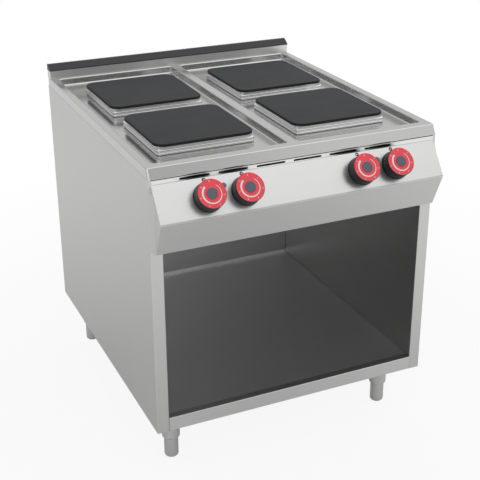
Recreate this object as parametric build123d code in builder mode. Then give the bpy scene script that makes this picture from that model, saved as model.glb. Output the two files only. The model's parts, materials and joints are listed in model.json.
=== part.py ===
from build123d import *
import math
import os

# Electric stove: four square hot plates over an open cabinet on four adjustable feet.
# The front faces -Y, the left side as the user sees it -X, and the feet stand on z = 0.
# The origin is on the floor, under the middle of the outline between knobs and rear wall.
# Lengths are in millimetres and angles in degrees.

# Cabinet
WIDTH = 800.0
DEPTH = 890.0
LEG_HEIGHT = 150.0
SIDE_HEIGHT = 706.0
SHEET = 1.2
BEND = 2.5
TIGHT_BEND = 1.3
STILE_WIDTH = 33.0
STILE_LIP = 15.0
REAR_FLANGE = 25.0
LEDGE_WIDTH = 18.0
BASE_FLANGE = 20.0
LEDGE_START = 20.0
KICK_HEIGHT = 39.0
KICK_FLANGE = 22.0
FLOOR_RISE = 10.0
FLOOR_LIP = 8.0
BACK_RECESS = 42.0
BACK_FLANGE = 20.0
CEILING_DROP = 143.0
HEADER_HEIGHT = 40.0
HEADER_FLANGE = 31.0
SHIELD_FLANGE = 20.0

# Legs
FRONT_LEG_INSET_X = 71.5
REAR_LEG_INSET_X = 62.0
LEG_INSET_FRONT = 100.0
LEG_INSET_REAR = 78.0
SOCKET_RADIUS = 24.5
SOCKET_END = 60.0
SOCKET_CHAMFER = 5.0
SOCKET_PLATE = 70.0
SOCKET_PLATE_THICKNESS = 3.0
STEM_RADIUS = 19.5
STEM_FIT = 0.08
STEM_INSERT = 70.0
FOOT_ROUND = 8.0

# Worktop with its two wells
TOP_INSET = 0.5
TOP_SHEET = 2.0
TOP_RISE = 25.0
TOP_FRONT_SETBACK = 11.0
TOP_FRONT_LEAN = 13.5
TOP_REAR_SETBACK = 2.0
TOP_EDGE_ROUND = 3.5
TOP_CORNER_ROUND = 6.0
TOP_LIP_DROP = 1.2
TOP_LIP_RETURN = 9.0
RIB_WIDTH = 28.0
SIDE_LAND = 23.0
WELL_FRONT = 39.0
WELL_REAR = 38.0
WELL_SINK = 22.0
WELL_CORNER = 9.0
WELL_RIM_ROUND = 4.0
WELL_FLOOR_ROUND = 5.0

# Splash wall and its dark cap
SPLASH_SETBACK = 29.0
SPLASH_HEIGHT = 24.0
SPLASH_BACK_GAP = 2.0
SPLASH_EDGE_ROUND = 1.5
CAP_HEIGHT = 17.0
CAP_LIP = 3.0
CAP_OVERHANG = 2.0
CAP_BACK_GAP = 1.0
CAP_CREST = 9.0
CAP_WALL = 2.5
CAP_ROUND = 1.0

# Hot plates, frames and what lies under them
PLATE_SIZE = 270.0
PLATE_CORNER = 30.0
PLATE_SHIFT = 3.0
FRONT_PLATE_SHARE = 0.2817
REAR_PLATE_SHARE = 0.7079
PLATE_RISE = 29.0
PLATE_SLAB = 7.0
PLATE_EDGE_ROUND = 1.5
PLATE_STEP = 12.0
BODY_SIZE = PLATE_SIZE - 2 * PLATE_STEP
PLATE_DEPTH = 28.0
BODY_CORNER = 6.0
BODY_WALL = 8.0
PLATE_POCKET = BODY_SIZE - 2 * BODY_WALL
PLATE_POCKET_DEPTH = 12.0
POCKET_CORNER = 20.0
FRAME_GAP = 0.5
NECK_INSET = 5.5
NECK_SIZE = PLATE_SIZE - 2 * NECK_INSET
NECK_CORNER = 10.0
NECK_HEIGHT = 7.4
BEAD_INSET = 1.5
BEAD_SIZE = PLATE_SIZE - 2 * BEAD_INSET
BEAD_CORNER = 9.0
BEAD_HEIGHT = 7.0
BEAD_ROUND = 2.5
GROOVE_HEIGHT = 1.0
GROOVE_DEPTH = 2.0
GASKET_THICKNESS = 1.0
HOLE_GAP = 1.0
PLATE_HOLE = BODY_SIZE + 2 * HOLE_GAP
HOLE_CORNER = 8.0
ELEMENT_RADIUS = 4.0
ELEMENT_GAP = 0.1
ELEMENT_ROWS = 4
ELEMENT_BORDER = 37.0
ELEMENT_PITCH = (PLATE_POCKET - 2 * ELEMENT_BORDER) / (ELEMENT_ROWS - 1)
ELEMENT_END = 15.0
ELEMENT_SPAN = PLATE_POCKET - 2 * ELEMENT_END
ELEMENT_BEND = 18.0
ELEMENT_TAIL = 36.0
PAN_INSET = 2.0
PAN_SIZE = BODY_SIZE - 2 * PAN_INSET
PAN_RIM = 8.0
PAN_TRAY = PAN_SIZE - 2 * PAN_RIM
PAN_DEPTH = 20.0
PAN_CORNER = 16.0
TAIL_CLEARANCE = 2.0

# Control unit in front of the cabinet
UNIT_INSET = 8.5
VENT_HEIGHT = 11.3
VENT_REACH = 1.2
VENT_TOP_FLANGE = 20.0
VENT_LAP = 12.0
VENT_DROP = 3.7
SLOT_COUNT = 6
SLOT_LENGTH = 78.0
SLOT_HEIGHT = 5.0
SLOT_PITCH = 101.0
SLOT_FIRST = 118.0
PANEL_LENGTH = 100.0
PANEL_LEAN = 35.8
PANEL_LAP = 14.0
NOSE_FLANGE = 14.0
SKIRT_DROP = 91.0
SKIRT_REACH = 19.5
CHEEK_FLANGE = 18.0

# Knobs, rotary switches and pilot lamps
KNOB_PAIR_SHIFT = 15.0
KNOB_PAIR_SPREAD = 99.0
KNOB_DROP = 50.7
KNOB_RADIUS = 36.6
KNOB_SKIRT_RADIUS = 38.0
KNOB_SKIRT_HEIGHT = 7.0
KNOB_HEIGHT = 33.0
KNOB_GAP = 1.0
KNOB_EDGE_ROUND = 0.5
KNOB_WALL = 2.5
KNOB_TOP = 6.0
KNOB_RIBS = 36
KNOB_FLUTE_RADIUS = 1.5
HUB_RADIUS = 8.0
DIAL_RADIUS = 36.0
DIAL_THICKNESS = 1.2
DIAL_FIT = 0.1
CAP_DISC_RADIUS = 14.2
CAP_DISC_HEIGHT = 2.6
CAP_DISC_ROUND = 1.0
SPINDLE_RADIUS = 3.0
SPINDLE_FIT = 0.05
SPINDLE_INSERT = 24.0
SPINDLE_DEPTH = 48.0
SPINDLE_PASSAGE = 7.0
SWITCH_SIZE = 42.0
SWITCH_DEPTH = 30.0
SWITCH_CORNER = 3.0
SWITCH_BUSH_RADIUS = 6.0
SWITCH_BUSH_LENGTH = 5.0
SWITCH_END = 1.0
BUSH_FIT = 0.2
BRACKET_OVERHANG = 50.0
BRACKET_WIDTH = 64.0
BRACKET_DEPTH = 22.0
PILOT_SHIFT = 3.0
PILOT_DROP = 28.0
PILOT_RADIUS = 6.0
PILOT_RIM_RADIUS = 7.4
PILOT_RIM_HEIGHT = 1.0
PILOT_LENS_HEIGHT = 2.6
PILOT_BODY_RADIUS = 5.0
PILOT_BODY_LENGTH = 17.0
PILOT_FIT = 0.3

# Mains connection in the rear channel
GLAND_INSET = 100.0
GLAND_BORE_RADIUS = 7.0
GLAND_THREAD_RADIUS = 12.5
GLAND_HEX = 30.0
GLAND_BODY = 22.0
GLAND_NUT = 7.0
GLAND_FIT = 0.3
BLOCK_SPACING = 100.0
BLOCK_LENGTH = 92.0
BLOCK_DEPTH = 26.0
BLOCK_HEIGHT = 24.0
BLOCK_POLES = 5
BLOCK_SCREW_RADIUS = 4.0
BLOCK_SCREW_DEPTH = 10.0

# Reach of the selectors that pick edges by their place
TOLERANCE = 0.01

# Heights and places that follow from the sizes above
SIDE_TOP = LEG_HEIGHT + SIDE_HEIGHT
DECK = SIDE_TOP + TOP_RISE
WELL_FLOOR = DECK - WELL_SINK
PLATE_TOP = WELL_FLOOR + PLATE_RISE
CEILING = SIDE_TOP - CEILING_DROP
FLOOR_TOP = LEG_HEIGHT + FLOOR_RISE
SKIN_X = WIDTH / 2
INNER_X = SKIN_X - SHEET
UNIT_X = SKIN_X - UNIT_INSET
PANEL_TOP = SIDE_TOP - VENT_DROP - VENT_HEIGHT
COS_LEAN = math.cos(math.radians(PANEL_LEAN))
SIN_LEAN = math.sin(math.radians(PANEL_LEAN))
KNOB_CORNER = KNOB_RADIUS - KNOB_EDGE_ROUND
KNOB_REACH = (
    KNOB_DROP * SIN_LEAN
    + (KNOB_HEIGHT - KNOB_EDGE_ROUND) * COS_LEAN
    + KNOB_CORNER * SIN_LEAN
    + KNOB_EDGE_ROUND
)
FRONT = (KNOB_REACH - DEPTH) / 2
REAR = FRONT + DEPTH
BACK_WALL = REAR - BACK_RECESS
REAR_INNER = REAR - SHEET
GLAND_X = SKIN_X - GLAND_INSET
GLAND_Y = (BACK_WALL + SHEET + REAR_INNER) / 2
BLOCK_X = GLAND_X - BLOCK_SPACING
NOSE_Y = FRONT - PANEL_LENGTH * SIN_LEAN
NOSE_Z = PANEL_TOP - PANEL_LENGTH * COS_LEAN
SKIRT_BOTTOM = NOSE_Z - SKIRT_DROP
SKIRT_FRONT = FRONT - SKIRT_REACH
TOP_FRONT = FRONT + TOP_FRONT_SETBACK
TOP_REAR = REAR - TOP_REAR_SETBACK
SPLASH_FRONT = REAR - SPLASH_SETBACK
SPLASH_REAR = REAR - SPLASH_BACK_GAP
SPLASH_TOP = DECK + SPLASH_HEIGHT
WELL_WIDTH = SKIN_X - SIDE_LAND - RIB_WIDTH / 2
WELL_LENGTH = DEPTH - WELL_FRONT - WELL_REAR
WELL_CENTRE_X = (RIB_WIDTH + WELL_WIDTH) / 2
WELL_CENTRE_Y = FRONT + WELL_FRONT + WELL_LENGTH / 2
PLATE_X = WELL_CENTRE_X - PLATE_SHIFT
FRONT_PLATE_Y = FRONT + WELL_FRONT + FRONT_PLATE_SHARE * WELL_LENGTH
REAR_PLATE_Y = FRONT + WELL_FRONT + REAR_PLATE_SHARE * WELL_LENGTH
FRAME_BOTTOM = WELL_FLOOR + GASKET_THICKNESS
FRAME_TOP = PLATE_TOP - PLATE_SLAB
PLATE_BOTTOM = PLATE_TOP - PLATE_DEPTH
POCKET_ROOF = PLATE_BOTTOM + PLATE_POCKET_DEPTH
KNOB_PAIR_CENTRE = WELL_CENTRE_X + KNOB_PAIR_SHIFT
PILOT_X = KNOB_PAIR_CENTRE + PILOT_SHIFT
BRACKET_END = KNOB_PAIR_CENTRE + KNOB_PAIR_SPREAD / 2 + BRACKET_OVERHANG
KNOB_X = [
    side * (KNOB_PAIR_CENTRE + place * KNOB_PAIR_SPREAD / 2)
    for side, place in ((-1, 1), (-1, -1), (1, -1), (1, 1))
]
PLATES = {
    "front_left": (-PLATE_X, FRONT_PLATE_Y),
    "front_right": (PLATE_X, FRONT_PLATE_Y),
    "rear_left": (-PLATE_X, REAR_PLATE_Y),
    "rear_right": (PLATE_X, REAR_PLATE_Y),
}
UNIT_OUTLINE = [
    (FRONT, PANEL_TOP),
    (NOSE_Y, NOSE_Z),
    (SKIRT_FRONT, SKIRT_BOTTOM),
    (FRONT, SKIRT_BOTTOM),
]
LEGS = {
    "front_left": (FRONT_LEG_INSET_X - SKIN_X, FRONT + LEG_INSET_FRONT),
    "front_right": (SKIN_X - FRONT_LEG_INSET_X, FRONT + LEG_INSET_FRONT),
    "rear_left": (REAR_LEG_INSET_X - SKIN_X, REAR - LEG_INSET_REAR),
    "rear_right": (SKIN_X - REAR_LEG_INSET_X, REAR - LEG_INSET_REAR),
}


def slab(x_range, y_range, z_range, mode=Mode.ADD):
    """Add or cut a block given by its two limits along each axis."""
    middle = [(low + high) / 2 for low, high in (x_range, y_range, z_range)]
    with Locations(tuple(middle)):
        Box(
            x_range[1] - x_range[0],
            y_range[1] - y_range[0],
            z_range[1] - z_range[0],
            mode=mode,
        )


def folded_sheet(plane, outline, length, side=Side.LEFT, bend=BEND):
    """Extrude a bent sheet from the outer line of its section."""
    with BuildSketch(plane) as section:
        with BuildLine():
            FilletPolyline(*outline, radius=bend)
            offset(amount=SHEET, side=side)
        make_face()
    extrude(section.sketch, amount=length)


def across(half_width):
    """Section plane at the left end of a piece that runs across the stove."""
    return Plane.YZ.offset(-half_width)


def panel_plane(x, down, out=0.0):
    """Plane on the leaning panel, its normal out of the panel and its Y axis up it."""
    return Plane(
        origin=(
            x,
            FRONT - down * SIN_LEAN - out * COS_LEAN,
            PANEL_TOP - down * COS_LEAN + out * SIN_LEAN,
        ),
        x_dir=(1, 0, 0),
        z_dir=(0, -COS_LEAN, SIN_LEAN),
    )


def disc(plane, radius, height, mode=Mode.ADD):
    """Add or cut a round boss that stands on a plane."""
    with BuildSketch(plane) as outline:
        Circle(radius)
    extrude(outline.sketch, amount=height, mode=mode)


def rounded_block(x, y, z, size, corner, height, mode=Mode.ADD):
    """Add or cut a square block with rounded upright corners, standing on height z."""
    with BuildSketch(Plane.XY.offset(z)) as outline:
        with Locations((x, y)):
            RectangleRounded(size, size, corner)
    extrude(outline.sketch, amount=height, mode=mode)


def save(part, name):
    """Label a finished piece and write it to its own file."""
    part.label = name
    export_step(part, f"parts/{name}.step")


# Cabinet

def make_side_panel():
    """Left wall: skin, front stile with lip, rear flange, top ledge and base flange."""
    section = [
        (STILE_WIDTH - SKIN_X, FRONT + STILE_LIP),
        (STILE_WIDTH - SKIN_X, FRONT),
        (-SKIN_X, FRONT),
        (-SKIN_X, REAR),
        (REAR_FLANGE - SKIN_X, REAR),
    ]
    with BuildPart() as side_panel:
        folded_sheet(Plane.XY.offset(LEG_HEIGHT), section, SIDE_HEIGHT, Side.RIGHT)
        slab(
            (UNIT_INSET - SKIN_X, STILE_WIDTH - SKIN_X),
            (FRONT, FRONT + STILE_LIP),
            (PANEL_TOP - SHEET / SIN_LEAN, SIDE_TOP),
            Mode.SUBTRACT,
        )
        slab(
            (-INNER_X, LEDGE_WIDTH - SKIN_X),
            (FRONT + LEDGE_START, REAR_INNER - BACK_FLANGE),
            (SIDE_TOP - SHEET, SIDE_TOP),
        )
        slab(
            (-INNER_X, BASE_FLANGE - SKIN_X),
            (FRONT + SHEET, REAR_INNER),
            (LEG_HEIGHT, LEG_HEIGHT + SHEET),
        )
    return side_panel.part


def make_cabinet_floor():
    """Floor pan on the base flanges, with a low lip along the back wall."""
    section = [
        (-INNER_X, LEG_HEIGHT + SHEET),
        (-INNER_X, FLOOR_TOP),
        (INNER_X, FLOOR_TOP),
        (INNER_X, LEG_HEIGHT + SHEET),
    ]
    floor_front = FRONT + STILE_LIP
    with BuildPart() as floor:
        folded_sheet(Plane.XZ.offset(-BACK_WALL), section, BACK_WALL - floor_front, Side.RIGHT)
        slab(
            (-INNER_X, INNER_X),
            (BACK_WALL - SHEET, BACK_WALL),
            (FLOOR_TOP, FLOOR_TOP + FLOOR_LIP),
        )
    return floor.part


def make_back_panel():
    """Back wall of the open space, its end flanges turned to the rear."""
    section = [
        (-INNER_X, BACK_WALL + BACK_FLANGE),
        (-INNER_X, BACK_WALL),
        (INNER_X, BACK_WALL),
        (INNER_X, BACK_WALL + BACK_FLANGE),
    ]
    bottom = LEG_HEIGHT + SHEET
    with BuildPart() as back_panel:
        folded_sheet(Plane.XY.offset(bottom), section, CEILING + SHEET - bottom)
    return back_panel.part


def make_front_bottom_rail():
    """Low rail between the stiles, over the front edge of the floor."""
    top = LEG_HEIGHT + KICK_HEIGHT
    section = [
        (FRONT + KICK_FLANGE, top),
        (FRONT, top),
        (FRONT, LEG_HEIGHT),
        (FRONT + STILE_LIP, LEG_HEIGHT),
    ]
    half = SKIN_X - STILE_WIDTH
    with BuildPart() as rail:
        folded_sheet(across(half), section, 2 * half, bend=TIGHT_BEND)
    return rail.part


def make_front_top_rail():
    """Rail between the stiles that carries the front of the heat shield."""
    section = [
        (FRONT + HEADER_FLANGE, CEILING - SHEET),
        (FRONT, CEILING - SHEET),
        (FRONT, CEILING - SHEET - HEADER_HEIGHT),
        (FRONT + HEADER_FLANGE, CEILING - SHEET - HEADER_HEIGHT),
    ]
    half = SKIN_X - STILE_WIDTH
    with BuildPart() as rail:
        folded_sheet(across(half), section, 2 * half)
    return rail.part


def make_heat_shield():
    """Ceiling of the open space, its flanges turned down along the side walls."""
    section = [
        (-INNER_X, CEILING - SHIELD_FLANGE),
        (-INNER_X, CEILING),
        (INNER_X, CEILING),
        (INNER_X, CEILING - SHIELD_FLANGE),
    ]
    shield_front = FRONT + STILE_LIP
    with BuildPart() as shield:
        folded_sheet(Plane.XZ.offset(-BACK_WALL), section, BACK_WALL - shield_front, Side.RIGHT)
    return shield.part


def make_rear_top_rail():
    """Channel across the rear that closes the top of the recess and holds the gland."""
    bottom = CEILING + SHEET
    section = [
        (BACK_WALL, bottom),
        (REAR_INNER, bottom),
        (REAR_INNER, SIDE_TOP),
        (REAR_INNER - BACK_FLANGE, SIDE_TOP),
    ]
    half = SKIN_X - BEND
    with BuildPart() as rail:
        folded_sheet(across(half), section, 2 * half)
        disc(
            Plane((GLAND_X, GLAND_Y, bottom)),
            GLAND_THREAD_RADIUS + GLAND_FIT,
            SHEET,
            Mode.SUBTRACT,
        )
    return rail.part


# Legs

def make_leg_socket(x, y):
    """Plate and sleeve under the floor, with a blind bore for the foot's stem."""
    plate_top = FLOOR_TOP - SHEET
    bore_top = SOCKET_END + STEM_INSERT
    with BuildPart() as socket:
        disc(Plane((x, y, SOCKET_END)), SOCKET_RADIUS, plate_top - SOCKET_END)
        chamfer(socket.edges().group_by(Axis.Z)[0], SOCKET_CHAMFER)
        rounded_block(
            x, y, plate_top - SOCKET_PLATE_THICKNESS,
            SOCKET_PLATE, FOOT_ROUND, SOCKET_PLATE_THICKNESS,
        )
        disc(
            Plane((x, y, SOCKET_END)),
            STEM_RADIUS + STEM_FIT,
            bore_top - SOCKET_END,
            Mode.SUBTRACT,
        )
    return socket.part


def make_leg_foot(x, y):
    """Foot whose stem slides in the socket and meets its end when screwed right in."""
    with BuildPart() as foot:
        disc(Plane((x, y, 0)), STEM_RADIUS, SOCKET_END + STEM_INSERT)
        fillet(foot.edges().group_by(Axis.Z)[0], FOOT_ROUND)
    return foot.part


# Worktop and splash wall

def well_rim(worktop):
    """Edges of the two wells at the height of the deck."""
    reach_x = WELL_CENTRE_X + WELL_WIDTH / 2
    reach_y = WELL_LENGTH / 2
    rim = worktop.edges().filter_by_position(Axis.Z, DECK - TOLERANCE, DECK + TOLERANCE)
    rim = rim.filter_by_position(Axis.X, -reach_x - TOLERANCE, reach_x + TOLERANCE)
    return rim.filter_by_position(
        Axis.Y, WELL_CENTRE_Y - reach_y - TOLERANCE, WELL_CENTRE_Y + reach_y + TOLERANCE,
    )


def make_worktop():
    """Pressed worktop: leaning front, side and rear skirts and two wells with holes."""
    half = SKIN_X - TOP_INSET
    outline = [
        (TOP_FRONT, DECK),
        (TOP_REAR, DECK),
        (TOP_REAR, SIDE_TOP),
        (TOP_FRONT - TOP_FRONT_LEAN, SIDE_TOP),
    ]
    wells = [(-WELL_CENTRE_X, WELL_CENTRE_Y), (WELL_CENTRE_X, WELL_CENTRE_Y)]
    lip_front = TOP_FRONT - TOP_FRONT_LEAN
    with BuildPart() as worktop:
        with BuildSketch(across(half)):
            Polygon(*outline, align=None)
        extrude(amount=2 * half)
        upright = worktop.edges().filter_by_position(
            Axis.Z, SIDE_TOP + TOLERANCE, DECK - TOLERANCE,
        )
        fillet(upright.group_by(Axis.Y)[0], TOP_CORNER_ROUND)
        fillet(worktop.edges().filter_by(Axis.Z), TOP_EDGE_ROUND)
        fillet(worktop.faces().sort_by(Axis.Z)[-1].edges(), TOP_EDGE_ROUND)
        offset(
            amount=-TOP_SHEET,
            openings=worktop.faces().sort_by(Axis.Z)[0],
            kind=Kind.INTERSECTION,
        )
        with BuildSketch(Plane.XY.offset(WELL_FLOOR - TOP_SHEET)):
            with Locations(*wells):
                RectangleRounded(
                    WELL_WIDTH + 2 * TOP_SHEET,
                    WELL_LENGTH + 2 * TOP_SHEET,
                    WELL_CORNER + TOP_SHEET,
                )
        extrude(amount=WELL_SINK)
        with BuildSketch(Plane.XY.offset(WELL_FLOOR)):
            with Locations(*wells):
                RectangleRounded(WELL_WIDTH, WELL_LENGTH, WELL_CORNER)
        extrude(amount=WELL_SINK, mode=Mode.SUBTRACT)
        pocket_edges = worktop.edges(Select.LAST).group_by(Axis.Z)
        fillet(pocket_edges[0], WELL_FLOOR_ROUND)
        fillet(well_rim(worktop), WELL_RIM_ROUND)
        with BuildSketch(Plane.XY.offset(WELL_FLOOR - TOP_SHEET)):
            with Locations(*PLATES.values()):
                RectangleRounded(PLATE_HOLE, PLATE_HOLE, HOLE_CORNER)
        extrude(amount=TOP_SHEET, mode=Mode.SUBTRACT)
        slab(
            (-UNIT_X, UNIT_X),
            (lip_front, lip_front + TOP_LIP_RETURN),
            (SIDE_TOP - TOP_LIP_DROP, SIDE_TOP),
        )
    return worktop.part


def make_splashback():
    """Upturned tray along the rear of the worktop."""
    with BuildPart() as splashback:
        slab((-SKIN_X, SKIN_X), (SPLASH_FRONT, SPLASH_REAR), (DECK, SPLASH_TOP))
        fillet(splashback.edges().filter_by(Axis.Z), SPLASH_EDGE_ROUND)
        slab(
            (TOP_SHEET - SKIN_X, SKIN_X - TOP_SHEET),
            (SPLASH_FRONT + TOP_SHEET, SPLASH_REAR - TOP_SHEET),
            (DECK, SPLASH_TOP - TOP_SHEET),
            Mode.SUBTRACT,
        )
    return splashback.part


def make_splashback_cap():
    """Dark moulded cap: low front lip, sloping top and upright back."""
    front = SPLASH_FRONT - CAP_OVERHANG
    back = REAR - CAP_BACK_GAP
    top = SPLASH_TOP + CAP_HEIGHT
    outline = [
        (front, SPLASH_TOP),
        (front, SPLASH_TOP + CAP_LIP),
        (back - CAP_CREST, top),
        (back, top),
        (back, SPLASH_TOP),
    ]
    with BuildPart() as cap:
        with BuildSketch(across(SKIN_X)):
            Polygon(*outline, align=None)
        extrude(amount=WIDTH)
        fillet(cap.edges().filter_by(Axis.X).group_by(Axis.Z)[-1], CAP_ROUND)
        with BuildSketch(across(SKIN_X - CAP_WALL)):
            Polygon(*outline, align=None)
            offset(amount=-CAP_WALL, kind=Kind.INTERSECTION, mode=Mode.REPLACE)
        extrude(amount=WIDTH - 2 * CAP_WALL, mode=Mode.SUBTRACT)
        slab(
            (CAP_WALL - SKIN_X, SKIN_X - CAP_WALL),
            (front + 2 * CAP_WALL, back - CAP_WALL),
            (SPLASH_TOP, SPLASH_TOP + CAP_WALL),
            Mode.SUBTRACT,
        )
    return cap.part


# Hot plates

def make_hot_plate(x, y):
    """Cast plate: slab over the surround, narrower body and a pocket for the element."""
    body_height = FRAME_TOP - PLATE_BOTTOM
    with BuildPart() as plate:
        rounded_block(x, y, FRAME_TOP, PLATE_SIZE, PLATE_CORNER, PLATE_SLAB)
        fillet(plate.edges().group_by(Axis.Z)[-1], PLATE_EDGE_ROUND)
        rounded_block(x, y, PLATE_BOTTOM, BODY_SIZE, BODY_CORNER, body_height)
        rounded_block(
            x, y, PLATE_BOTTOM, PLATE_POCKET, POCKET_CORNER, PLATE_POCKET_DEPTH, Mode.SUBTRACT,
        )
    return plate.part


def make_plate_frame(x, y):
    """Surround: two round-edged beads and a neck that carries the plate, on the gasket."""
    upper_bead = FRAME_TOP - NECK_HEIGHT - BEAD_HEIGHT
    lower_bead = upper_bead - GROOVE_HEIGHT
    groove_size = BEAD_SIZE - 2 * GROOVE_DEPTH
    groove_corner = BEAD_CORNER - GROOVE_DEPTH
    height = FRAME_TOP - FRAME_BOTTOM
    pocket = BODY_SIZE + 2 * FRAME_GAP
    pocket_corner = BODY_CORNER + FRAME_GAP
    with BuildPart() as frame:
        rounded_block(x, y, upper_bead, BEAD_SIZE, BEAD_CORNER, BEAD_HEIGHT)
        rounded_block(x, y, FRAME_BOTTOM, BEAD_SIZE, BEAD_CORNER, lower_bead - FRAME_BOTTOM)
        fillet(frame.edges().filter_by(Axis.Z, reverse=True), BEAD_ROUND)
        rounded_block(
            x, y, FRAME_BOTTOM, groove_size, groove_corner, height - NECK_HEIGHT - BEAD_ROUND,
        )
        rounded_block(x, y, FRAME_BOTTOM, NECK_SIZE, NECK_CORNER, height)
        rounded_block(x, y, FRAME_BOTTOM, pocket, pocket_corner, height, Mode.SUBTRACT)
    return frame.part


def make_plate_gaskets():
    """Four flat rings between the surrounds and the floor of the wells."""
    outer_size = BEAD_SIZE - 2 * BEAD_ROUND
    outer_corner = BEAD_CORNER - BEAD_ROUND
    with BuildPart() as gaskets:
        for x, y in PLATES.values():
            rounded_block(x, y, WELL_FLOOR, outer_size, outer_corner, GASKET_THICKNESS)
            rounded_block(
                x, y, WELL_FLOOR, PLATE_HOLE, HOLE_CORNER, GASKET_THICKNESS, Mode.SUBTRACT,
            )
    return gaskets.part


def element_ends(x, y):
    """Places of the two tails of an element, at its first and last bend."""
    side = ELEMENT_SPAN / 2
    reach = (ELEMENT_ROWS - 1) * ELEMENT_PITCH / 2
    return [(x - side, y - reach), (x - side, y + reach)]


def make_heating_elements():
    """Four sheathed elements, each laid in rows under its plate with two tails down."""
    height = POCKET_ROOF - ELEMENT_RADIUS - ELEMENT_GAP
    side = ELEMENT_SPAN / 2
    with BuildPart() as elements:
        for x, y in PLATES.values():
            route = []
            for row in range(ELEMENT_ROWS):
                across_y = y + (row - (ELEMENT_ROWS - 1) / 2) * ELEMENT_PITCH
                turn = side if row % 2 == 0 else -side
                route += [(x - turn, across_y, height), (x + turn, across_y, height)]
            with BuildLine() as run:
                FilletPolyline(*route, radius=ELEMENT_BEND)
            with BuildSketch(Plane(origin=run.line @ 0, z_dir=run.line % 0)):
                Circle(ELEMENT_RADIUS)
            sweep(path=run.line)
            for tail_x, tail_y in element_ends(x, y):
                disc(Plane((tail_x, tail_y, height)), ELEMENT_RADIUS, -ELEMENT_TAIL)
    return elements.part


def make_heater_pan(x, y):
    """Tray that closes the plate's pocket from below, with holes for the two tails."""
    bottom = PLATE_BOTTOM - PAN_DEPTH
    inner = PAN_TRAY - 2 * SHEET
    with BuildPart() as pan:
        rounded_block(x, y, PLATE_BOTTOM - SHEET, PAN_SIZE, PAN_CORNER, SHEET)
        rounded_block(x, y, bottom, PAN_TRAY, PAN_CORNER, PAN_DEPTH)
        rounded_block(x, y, bottom + SHEET, inner, PAN_CORNER - SHEET, PAN_DEPTH, Mode.SUBTRACT)
        for tail_x, tail_y in element_ends(x, y):
            disc(
                Plane((tail_x, tail_y, bottom)),
                ELEMENT_RADIUS + TAIL_CLEARANCE,
                SHEET,
                Mode.SUBTRACT,
            )
    return pan.part


# Control unit

def make_vent_strip():
    """Strip under the worktop's front lip, with a row of rounded slots."""
    top = PANEL_TOP + VENT_HEIGHT
    section = [
        (FRONT + VENT_TOP_FLANGE, top),
        (FRONT - VENT_REACH, top),
        (FRONT - VENT_REACH, PANEL_TOP),
        (FRONT + VENT_LAP, PANEL_TOP),
    ]
    with BuildPart() as strip:
        folded_sheet(across(UNIT_X), section, 2 * UNIT_X, bend=TIGHT_BEND)
        with BuildSketch(Plane.XZ.offset(VENT_REACH - FRONT)):
            for slot in range(SLOT_COUNT):
                with Locations((SLOT_FIRST + slot * SLOT_PITCH - SKIN_X, PANEL_TOP + VENT_HEIGHT / 2)):
                    SlotOverall(SLOT_LENGTH, SLOT_HEIGHT)
        extrude(amount=-SHEET, mode=Mode.SUBTRACT)
    return strip.part


def make_control_panel():
    """Leaning panel: lap under the vent strip, sharp nose and the holes of its controls."""
    section = [
        (FRONT + PANEL_LAP, PANEL_TOP),
        (FRONT, PANEL_TOP),
        (NOSE_Y, NOSE_Z),
        (NOSE_Y + NOSE_FLANGE, NOSE_Z),
    ]
    with BuildPart() as panel:
        folded_sheet(across(UNIT_X), section, 2 * UNIT_X, bend=TIGHT_BEND)
        for x in KNOB_X:
            disc(panel_plane(x, KNOB_DROP), SPINDLE_PASSAGE, -SHEET, Mode.SUBTRACT)
        for x in (-PILOT_X, PILOT_X):
            hole = PILOT_BODY_RADIUS + PILOT_FIT
            disc(panel_plane(x, PILOT_DROP), hole, -SHEET, Mode.SUBTRACT)
    return panel.part


def make_front_skirt():
    """Apron that slopes back under the nose, with a return at its foot."""
    section = [
        (NOSE_Y + NOSE_FLANGE, NOSE_Z),
        (NOSE_Y, NOSE_Z),
        (SKIRT_FRONT, SKIRT_BOTTOM),
        (FRONT, SKIRT_BOTTOM),
    ]
    with BuildPart() as skirt:
        folded_sheet(across(UNIT_X), section, 2 * UNIT_X, bend=TIGHT_BEND)
    return skirt.part


def make_corner_strip():
    """Slanted filler over the step between the stile and the left cheek."""
    step = UNIT_INSET - TOP_INSET
    slant = Plane(
        origin=(-UNIT_X - step, FRONT, 0),
        x_dir=(0, 0, 1),
        z_dir=(-SKIRT_REACH, -step, 0),
    )
    bevel = Plane(
        origin=(-UNIT_X, FRONT, PANEL_TOP),
        x_dir=(0, SIN_LEAN, COS_LEAN),
        z_dir=(-1, -COS_LEAN, SIN_LEAN),
    )
    with BuildPart() as strip:
        with BuildSketch(across(UNIT_X + step)):
            Polygon(*UNIT_OUTLINE, align=None)
        extrude(amount=step)
        split(bisect_by=slant, keep=Keep.BOTTOM)
        split(bisect_by=bevel, keep=Keep.BOTTOM)
    return strip.part


def make_cheek():
    """Left end of the control unit: a plate inside the sheets, flanged to the stile."""
    with BuildPart() as cheek:
        with BuildSketch(across(UNIT_X)):
            Polygon(*UNIT_OUTLINE, align=None)
            offset(amount=-SHEET, kind=Kind.INTERSECTION, mode=Mode.REPLACE)
        extrude(amount=SHEET)
        flange_top = cheek.vertices().sort_by(Axis.Z)[-1].Z
        slab(
            (-UNIT_X, CHEEK_FLANGE - UNIT_X),
            (FRONT - SHEET, FRONT),
            (SKIRT_BOTTOM + SHEET, flange_top),
        )
        slab(
            (-UNIT_X, SHEET - UNIT_X),
            (NOSE_Y, NOSE_Y + NOSE_FLANGE),
            (NOSE_Z - SHEET, NOSE_Z + SHEET),
            Mode.SUBTRACT,
        )
        split(bisect_by=panel_plane(0, 0, -SHEET), keep=Keep.BOTTOM)
        add(make_corner_strip())
    return cheek.part


# Controls

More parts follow.
